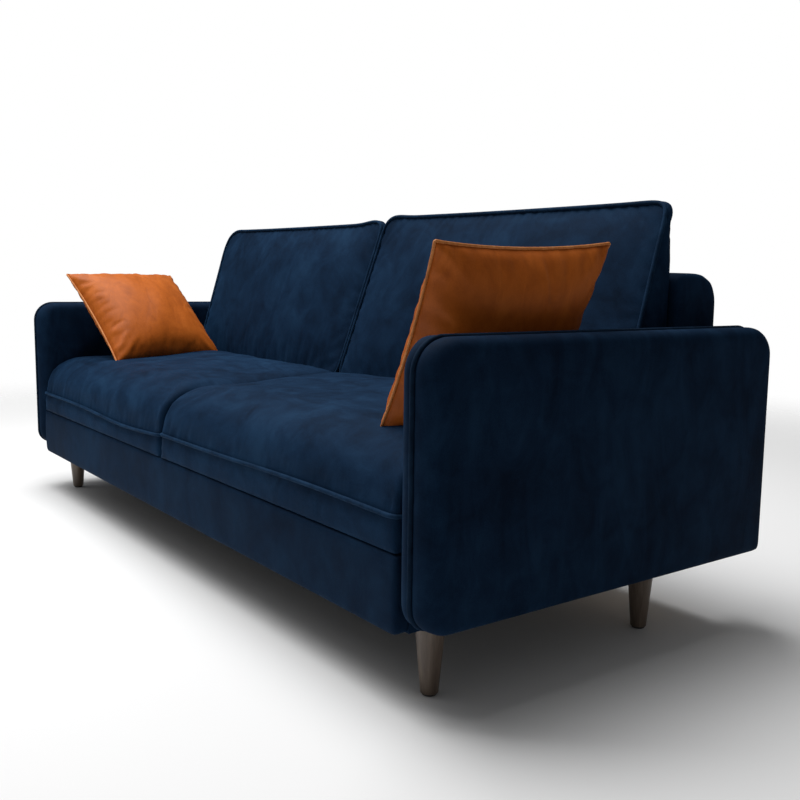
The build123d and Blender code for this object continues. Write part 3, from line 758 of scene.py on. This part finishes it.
def rear_cover():
    """The flat padded panel that closes the back of the sofa."""
    low, high = span("backrest_rear_panel")
    counts = (220, 4, 54)
    corners, faces = box_shell(*counts)
    x, y, z = place_grid(corners, counts, low, high).T
    box_low, box_high = low[[0, 2]], high[[0, 2]]
    radii = (0.006, 0.006, 0.006, 0.006)
    x, z = round_outline(x, z, box_low, box_high, radii)
    x, z, y = roll_edge(x, z, y, box_low, box_high, radii, high[1], 1, 0.0059, 0.0059)
    u = (x - low[0]) / (high[0] - low[0]) * 2 - 1
    w = (z - low[2]) / (high[2] - low[2]) * 2 - 1
    face = smoothstep((y - low[1]) / (high[1] - low[1]) * 1.5 - 0.5)
    uneven = 0.001 * surface_waves(x, z, 41, (0.4, 0.6, 0.3))
    y = y + face * (1 - np.abs(u) ** 10) * (1 - np.abs(w) ** 6) * (0.002 + uneven)
    verts = relax(np.stack([x, y, z], 1), faces, 2, 0.4)
    padded("backrest_rear_cover", verts, faces, NAVY, "root", "backrest_rear_panel")


# ======================= seat cushions =======================
SEAM_SAG = {"right": (0.006, 0.30, 0.70), "left": (-0.013, 0.26, 0.74)}   # rise, half length, centre
SEAT_CELLS = (110, 76, 18)
SEAM_ROW = 7                    # the row of cells' corners that the piping follows
SEAT_SPILL = 0.0015             # how far a cover may pass the CAD cushion's ends
BACK_FOOT_Y = float(span("back_cover_right")[0][1])


def ring_order(points, centre):
    """Order of points round a centre, by angle in their own plane of x and y."""
    return np.argsort(np.arctan2(points[:, 1] - centre[1], points[:, 0] - centre[0]))


def seat_cushion(side):
    """A boxed seat cushion: a border, a piped seam, a deep rounded front and a crowned top.

    The box shell's top front edge is bent into a quarter round of the waterfall's radius, the top swells
    by a flat-topped bump across and a ramp towards the back, and the seam draws in and wanders.
    """
    low, high = span(f"seat_cover_{side}")
    corners, faces = box_shell(*SEAT_CELLS)
    x, y, z = place_grid(corners, SEAT_CELLS, low, high).T
    share = corners[:, 2] / SEAT_CELLS[2]
    seam_share = SEAM_ROW / SEAT_CELLS[2]
    full = high[2] - low[2]
    z = low[2] + np.where(
        share <= seam_share, share / seam_share * SEAM_HEIGHT,
        SEAM_HEIGHT + (share - seam_share) / (1 - seam_share) * (full - SEAM_HEIGHT))
    y, z = round_corner(y, z, low[1] + WATERFALL, high[2] - WATERFALL, WATERFALL, WATERFALL, -1, 1)
    a = (x - low[0]) / (high[0] - low[0])
    verts = np.stack([x, y, z], 1)
    keep = np.abs(share - seam_share) < 1e-6
    verts = relax(verts, faces, 9, 0.5, np.where(keep, 0.35, np.where(corners[:, 2] == 0, 0.15, 1.0)))
    normal = vertex_normals(verts, faces)
    x, y, z = verts.T

    above = smoothstep((z - low[2] - SEAM_HEIGHT - 0.004) / 0.075)
    across = 1 - np.abs(2 * a - 1) ** 3.2
    ramp = smoothstep((y - low[1] - 0.17) / 0.34)
    under = 1 - smoothstep((y - BACK_FOOT_Y + 0.004) / 0.022)
    front_roll = smoothstep((y - low[1]) / 0.10)
    swell = above * (0.004 + 0.014 * across * (0.45 + 0.55 * front_roll) + 0.014 * ramp) * under
    seed = 3 if side == "right" else 8
    soft = surface_waves(x, y, seed, (0.34, 0.22, 0.41, 0.17)) * above * under
    seam_gap = z - low[2] - SEAM_HEIGHT
    along = x - y
    pucker = waves(along, seed + 1, (0.037, 0.055, 0.023, 0.029))
    gather = np.exp(-np.maximum(seam_gap, 0) / 0.030) * (seam_gap > 0) * np.minimum(seam_gap / 0.006, 1.0)
    border = np.clip(1 - np.abs(2 * (z - low[2]) / SEAM_HEIGHT - 1) ** 3, 0, 1) * (seam_gap < 0)
    tuck = np.exp(-((seam_gap + 0.011) / 0.008) ** 2) * (seam_gap < 0)
    end_share = np.exp(-np.minimum(x - low[0], high[0] - x) / 0.09)
    push = swell + 0.0022 * soft + pucker * gather * (0.0016 + 0.0028 * end_share)
    push += border * (0.0012 + 0.0012 * waves(along, seed + 2, (0.11, 0.17, 0.29)))
    push -= 0.0030 * np.exp(-((seam_gap / 0.0045) ** 2)) + 0.0026 * tuck
    verts = verts + normal * push[:, None]
    free = smoothstep((verts[:, 2] - low[2]) / 0.03) * under
    hold = np.where(keep, 1.0, np.where(seam_gap < 0, 0.7, 1 - free))
    verts = simulate(verts, faces, hold, *CLOTH["seat"])
    verts[:, 0] = np.clip(verts[:, 0], low[0] - SEAT_SPILL, high[0] + SEAT_SPILL)
    verts[:, 1] = np.minimum(verts[:, 1], high[1] + 0.001)

    rise, reach, centre = SEAM_SAG[side]
    drift = rise * np.exp(-(((a - centre) / reach) ** 2))
    near_seam = np.exp(-((seam_gap / 0.035) ** 2)) * (y < low[1] + 0.10)
    verts[:, 2] += drift * near_seam
    verts[:, 2] = np.maximum(verts[:, 2], low[2] + 0.0002)
    inner = a if side == "left" else 1 - a
    verts[:, 0] -= SPLIT_LEAN * smoothstep((verts[:, 1] - low[1]) / 0.55) * inner

    body = f"seat_cushion_{side}"
    padded(f"seat_cushion_cover_{side}", verts, faces, NAVY, body, f"seat_cover_{side}")
    core(f"seat_cushion_foam_{side}", verts, faces, body, f"seat_foam_{side}")

    rim = np.flatnonzero(keep)
    order = ring_order(corners[rim] / np.array(SEAT_CELLS), (0.5, 0.5))
    loop = verts[rim][order] + normal[rim][order] * (SEAT_PIPING * 0.95)
    path = resample(soft_path(loop, 3), True, 0.007)
    path[:, 0] = np.clip(path[:, 0], low[0] + 0.001, high[0] - 0.001)
    # the seat cord takes the lighter piping velvet: a painted highlight
    piping(f"seat_edge_cord_{side}", path, SEAT_PIPING, True, NAVY_PIPING_LIT, body, f"seat_piping_{side}")


# ======================= back cushions =======================
BACK_EARS = {"right": (0.004, 0.001), "left": (0.002, 0.008)}      # rise of the left and right top corners
BACK_CORNERS = {"right": (0.045, 0.026), "left": (0.085, 0.040)}   # radius of the left and right top corners
BACK_FOOT_CORNER = 0.035        # radius of the bottom corners
BACK_CREST = 0.009              # depth at the crest, before the faces swell
BACK_CELLS = (120, 16, 60)


def back_cushion(side):
    """A wedge-shaped back cushion: thick foot, thin crest, crowned face, raised ears at its top corners.

    The box shell's depth shrinks in a straight line from foot to crest; the outline is rounded in front view,
    the face swells by a product of two flat-topped bumps, and the part above the backrest swells behind too.
    """
    low, high = span(f"back_cover_{side}")
    corners, faces = box_shell(*BACK_CELLS)
    grid = corners / np.array(BACK_CELLS)
    a, b, c = grid.T
    x = low[0] + a * (high[0] - low[0])
    z = low[2] + c * (high[2] - low[2])
    left_r, right_r = BACK_CORNERS[side]
    radii = (BACK_FOOT_CORNER, BACK_FOOT_CORNER, right_r, left_r)
    x, z = round_outline(x, z, low[[0, 2]], high[[0, 2]], radii)
    rise = (z - low[2]) / (high[2] - low[2])
    depth = (high[1] - low[1]) * (1 - rise) + BACK_CREST * rise
    y = high[1] - depth * (1 - b)
    verts = relax(np.stack([x, y, z], 1), faces, 5, 0.5)
    normal = vertex_normals(verts, faces)
    x, y, z = verts.T
    rise = (z - low[2]) / (high[2] - low[2])
    u = 2 * (x - low[0]) / (high[0] - low[0]) - 1
    w = 2 * rise - 1
    bump = np.clip((1 - np.abs(u) ** 3.0), 0, 1) * np.clip(1 - np.abs(w) ** 3.0, 0, 1)
    face = np.clip(-normal[:, 1], 0, 1) ** 2
    behind = np.clip(normal[:, 1], 0, 1) ** 2
    above = smoothstep((z - BACK_FACE_HEIGHT) / 0.03)
    seed = 61 if side == "right" else 67
    soft = surface_waves(x, z, seed, (0.36, 0.25, 0.45, 0.19))
    on_rim = (corners[:, 1] == 0) & (
        (corners[:, 0] % BACK_CELLS[0] == 0) | (corners[:, 2] % BACK_CELLS[2] == 0))
    edge_x = np.minimum(x - low[0], high[0] - x)
    edge_z = np.minimum(z - low[2], high[2] - z)
    edge = np.minimum(edge_x, edge_z)
    pucker = waves(x + z, seed + 1, (0.045, 0.07, 0.033)) * np.exp(-edge / 0.035) * smoothstep(edge / 0.012)
    push = face * (0.026 * bump + 0.0022 * soft * np.sqrt(bump) + 0.0016 * pucker)
    push += behind * above * 0.040 * bump
    verts = verts + normal * push[:, None]
    against = (z < BACK_FACE_HEIGHT) & (normal[:, 1] > 0.3)
    hold = np.where((z < low[2] + 0.012) | against | on_rim, 1.0, 0.0)
    verts = simulate(verts, faces, hold, *CLOTH["back"])
    left_ear, right_ear = BACK_EARS[side]
    high_part = smoothstep((rise - 0.72) / 0.28)
    sag = -(0.003 * (1 - np.abs(u) ** 2.5) + BACK_SLOPE * u) * high_part
    ears = (left_ear * smoothstep((-u - 0.72) / 0.2) + right_ear * smoothstep((u - 0.72) / 0.2)) * high_part
    verts[:, 2] += sag + ears
    inner = u if side == "left" else -u
    verts[:, 0] += (BACK_SPLIT[0] * (1 - rise) + BACK_SPLIT[1] * rise) * smoothstep((inner + 1) / 2)
    verts[:, 1] = np.where(z < BACK_FACE_HEIGHT - 0.01, np.minimum(verts[:, 1], high[1]), verts[:, 1])
    verts[:, 2] = np.maximum(verts[:, 2], low[2] + 0.0005)

    body = f"back_cushion_{side}"
    padded(f"back_cushion_cover_{side}", verts, faces, NAVY, body, f"back_cover_{side}")
    core(f"back_cushion_filling_{side}", verts, faces, body, f"back_filling_{side}")

    rim = np.flatnonzero(on_rim)
    order = ring_order(grid[rim][:, [0, 2]], (0.5, 0.5))
    loop = verts[rim][order] + normal[rim][order] * PIPING * 0.6
    path = resample(soft_path(loop, 12), True, 0.008)
    # the back cord takes the lighter piping velvet: a painted highlight
    piping(f"back_edge_cord_{side}", path, PIPING, True, NAVY_PIPING_LIT, body, f"back_piping_{side}")


# ======================= throw pillows =======================
PILLOW_CELLS = 72
PILLOW_PULL = 0.058             # how far a pillow's sides draw in between its tips, as a share


def pillow_sheets():
    """Two square sheets that share their rim: whole-number points and quads."""
    corners, faces = box_shell(PILLOW_CELLS, PILLOW_CELLS, 1)
    middle = corners.copy()
    rim = (corners[:, 0] % PILLOW_CELLS == 0) | (corners[:, 1] % PILLOW_CELLS == 0)
    middle[rim, 2] = 0
    merged, index = np.unique(middle, axis=0, return_inverse=True)
    faces = index.reshape(-1)[faces]
    whole = np.array([len(set(face)) == 4 for face in faces.tolist()])
    return merged, faces[whole]


def pillow_form(side):
    """A knife-edged pillow in its own plane: two faces that swell from a shared seam to a full middle.

    Thickness is a power of the product of two rounded bumps; the seam draws in between the pointed tips.
    """
    grid, faces = pillow_sheets()
    u = grid[:, 0] / PILLOW_CELLS * 2 - 1
    v = grid[:, 1] / PILLOW_CELLS * 2 - 1
    top = grid[:, 2] * 2 - 1
    rim = (np.abs(u) == 1) | (np.abs(v) == 1)
    top = np.where(rim, 0, top)
    fall = np.clip(1 - u ** 2, 0, 1) * np.clip(1 - v ** 2, 0, 1)
    thick = PILLOW_BULGE * fall ** 0.46
    half_width, half_height = PILLOW_TIPS[side]
    px = u * (1 - PILLOW_PULL * (1 - v ** 2) ** 0.9) * half_width
    py = v * (1 - PILLOW_PULL * (1 - u ** 2) ** 0.9) * half_height
    seed = 71 if side == "right" else 77
    edge = 1 - np.maximum(np.abs(u), np.abs(v))
    along = np.where(np.abs(u) > np.abs(v), v, u)
    folds = waves(along, seed, (0.33, 0.21, 0.15, 0.27)) * np.exp(-edge / 0.16) * smoothstep(edge / 0.05)
    corner = smoothstep((np.abs(u) + np.abs(v) - 1.1) / 0.6)
    crease = waves(u - v * np.sign(u * v), seed + 1, (0.23, 0.31)) * corner * smoothstep(edge / 0.06)
    thick = thick + 0.0028 * folds + 0.0022 * crease + 0.0016 * surface_waves(u, v, seed + 2, (0.7, 0.5, 0.9))
    crease_line = (u - 0.10 - 0.12 * (1 - v)) / 0.035
    upper = smoothstep((v - 0.45) / 0.25)
    pinch = np.exp(-crease_line ** 2) * upper * smoothstep(edge / 0.10)
    thick = thick + 0.0034 * pinch - 0.0022 * np.exp(-(crease_line - 2.2) ** 2) * upper
    thick = np.where(rim, 0, np.maximum(thick, 0.0012))
    tips = (np.abs(u) == 1) & (np.abs(v) == 1)
    local = np.stack([px, py, top * thick], 1)
    local = simulate(local, faces, np.where(tips, 1.0, np.where(rim, 0.8, 0.0)), *CLOTH["pillow"])
    return local, faces, rim, grid


def throw_pillow(side):
    """A throw pillow, leaning on its arm, with its piped seam."""
    local, faces, rim, grid = pillow_form(side)
    low, high = span(f"pillow_cover_{side}")
    centre = (low + high) / 2 + PILLOW_SHIFTS[side]
    lean, turn, own_spin = LEANS[side]
    # local x runs to the rear, local y up the pillow, local z towards the right
    stand = np.array([[0, 0, 1.0], [1.0, 0, 0], [0, 1.0, 0]])
    spin = np.array(Matrix.Rotation(math.radians(turn), 3, "Z") @ Matrix.Rotation(math.radians(lean), 3, "Y")
                    @ Matrix.Rotation(math.radians(own_spin), 3, "X"))
    verts = local @ stand.T @ spin.T + centre
    body = f"throw_pillow_{side}"
    cad_cover, cad_insert, cad_cord = (f"pillow_{k}_{side}" for k in ("cover", "insert", "piping"))
    padded(f"throw_pillow_cover_{side}", verts, faces, ORANGE, body, cad_cover)
    inner = (verts - centre) * 0.95 + centre
    core(f"throw_pillow_insert_{side}", inner, faces, body, cad_insert)
    ids = np.flatnonzero(rim)
    order = ring_order(grid[ids] / PILLOW_CELLS, (0.5, 0.5))
    path = resample(verts[ids][order], True, 0.004)
    # the pillow cord takes the lighter orange piping velvet: a painted highlight
    piping(f"pillow_edge_cord_{side}", path, PILLOW_PIPING, True, ORANGE_PIPING_LIT, body, cad_cord)


# ======================= stage =======================
WORLD_LIGHT = 0.145             # how strongly the surroundings light the sofa
FLOOR_RADIUS = 9.0
FLOOR_RINGS, FLOOR_SIDES = 8, 48
FLOOR_FADE = (1.9, 4.6)         # where the floor starts and ends its fade into the surroundings
LIGHTS = {                      # place, aim, side of the square, watts
    "key": ((-3.2, -3.0, 4.6), (-0.2, 0.0, 0.4), 3.2, 44.0),
    "top": ((-0.9, -0.5, 4.4), (-0.1, 0.1, 0.4), 3.6, 266.0),
}
CAMERA_PLACE = (2.169, -1.291, 0.708)
CAMERA_ANGLES = (53.65, 7.26, 0.71)   # yaw, pitch and roll, degrees
CAMERA_LENS = 41.38             # millimetres, on a sensor 36 mm wide


def stage_floor():
    """A wide pale floor that fades into the white surroundings with the distance from the middle."""
    g = Graph("studio_floor")
    where = g.node("ShaderNodeTexCoord", {}, (), "Object")
    length = g.node("ShaderNodeVectorMath", {"operation": "LENGTH"}, (where,), "Value")
    fade = g.node("ShaderNodeMapRange", {"interpolation_type": "SMOOTHSTEP"}, {
        "Value": length, "From Min": FLOOR_FADE[0], "From Max": FLOOR_FADE[1]}, "Result")
    tone = g.noise(where, 1.5)
    g.surface(Base_Color=g.mix(tone, (0.86, 0.86, 0.86), (0.88, 0.88, 0.88)), Roughness=0.9)
    clear = g.tree.nodes.new("ShaderNodeBsdfTransparent")
    blend = g.tree.nodes.new("ShaderNodeMixShader")
    g.feed(blend.inputs[0], fade)
    g.tree.links.new(g.shader.outputs[0], blend.inputs[1])
    g.tree.links.new(clear.outputs[0], blend.inputs[2])
    g.tree.links.new(blend.outputs[0], g.tree.nodes["Material Output"].inputs["Surface"])
    rings = np.linspace(0.02, 1.0, FLOOR_RINGS)[:, None] * FLOOR_RADIUS
    around = np.linspace(0, 2 * math.pi, FLOOR_SIDES, endpoint=False)[None]
    level = np.full((FLOOR_RINGS, FLOOR_SIDES), -0.0005)
    flat = np.stack([rings * np.cos(around), rings * np.sin(around), level], -1).reshape(-1, 3)
    ids = np.arange(FLOOR_RINGS * FLOOR_SIDES).reshape(FLOOR_RINGS, FLOOR_SIDES)
    ring = np.hstack([ids, ids[:, :1]])
    quads = grid_quads(ring)
    mesh = bpy.data.meshes.new("floor")
    mesh.from_pydata(flat.tolist(), [], quads.tolist() + [ids[0].tolist()])
    floor = bpy.data.objects.new("floor", mesh)
    bpy.context.collection.objects.link(floor)
    floor.data.materials.append(g.material)


def area_light(name, place, target, size, power):
    """A soft square light aimed at a point."""
    data = bpy.data.lights.new(name, "AREA")
    data.size = size
    data.energy = power
    light = bpy.data.objects.new(name, data)
    light.location = place
    aim = Vector(target) - Vector(place)
    light.rotation_euler = aim.to_track_quat("-Z", "Y").to_euler()
    bpy.context.collection.objects.link(light)


def studio():
    """White surroundings that light the piece only weakly, a key from the front left and a top light."""
    world = bpy.data.worlds.new("studio")
    world.use_nodes = True
    nodes, links = world.node_tree.nodes, world.node_tree.links
    background = nodes["Background"]
    background.inputs["Color"].default_value = (1.0, 1.0, 1.0, 1.0)
    seen = nodes.new("ShaderNodeLightPath")
    strength = nodes.new("ShaderNodeMapRange")
    strength.inputs["To Min"].default_value = WORLD_LIGHT
    strength.inputs["To Max"].default_value = 1.0
    links.new(seen.outputs["Is Camera Ray"], strength.inputs["Value"])
    links.new(strength.outputs["Result"], background.inputs["Strength"])
    bpy.context.scene.world = world
    for name, light in LIGHTS.items():
        area_light(name, *light)
    bpy.context.scene.view_settings.view_transform = "Standard"


def camera():
    """The camera, a little above the seat and off the right-hand front corner."""
    yaw, pitch, roll = (math.radians(a) for a in CAMERA_ANGLES)
    ahead = Vector((-math.sin(yaw) * math.cos(pitch), math.cos(yaw) * math.cos(pitch), -math.sin(pitch)))
    right = Vector((math.cos(yaw), math.sin(yaw), 0.0))
    up = right.cross(ahead)
    side = right * math.cos(roll) + up * math.sin(roll)
    top = up * math.cos(roll) - right * math.sin(roll)
    data = bpy.data.cameras.new("camera")
    data.sensor_width = 36.0
    data.lens = CAMERA_LENS
    cam = bpy.data.objects.new("camera", data)
    turn = Matrix((side, top, -ahead)).transposed().to_4x4()
    cam.matrix_world = Matrix.Translation(CAMERA_PLACE) @ turn
    bpy.context.collection.objects.link(cam)
    bpy.context.scene.camera = cam


camera()
stage_floor()
studio()
finish_cad_nodes()
for side in ("right", "left"):
    arm_half(side, "inner")
    arm_half(side, "outer")
    arm_piping(side)
    base_wrap(side)
    seat_cushion(side)
    back_cushion(side)
    throw_pillow(side)
front_cover()
backrest_cover()
rear_cover()
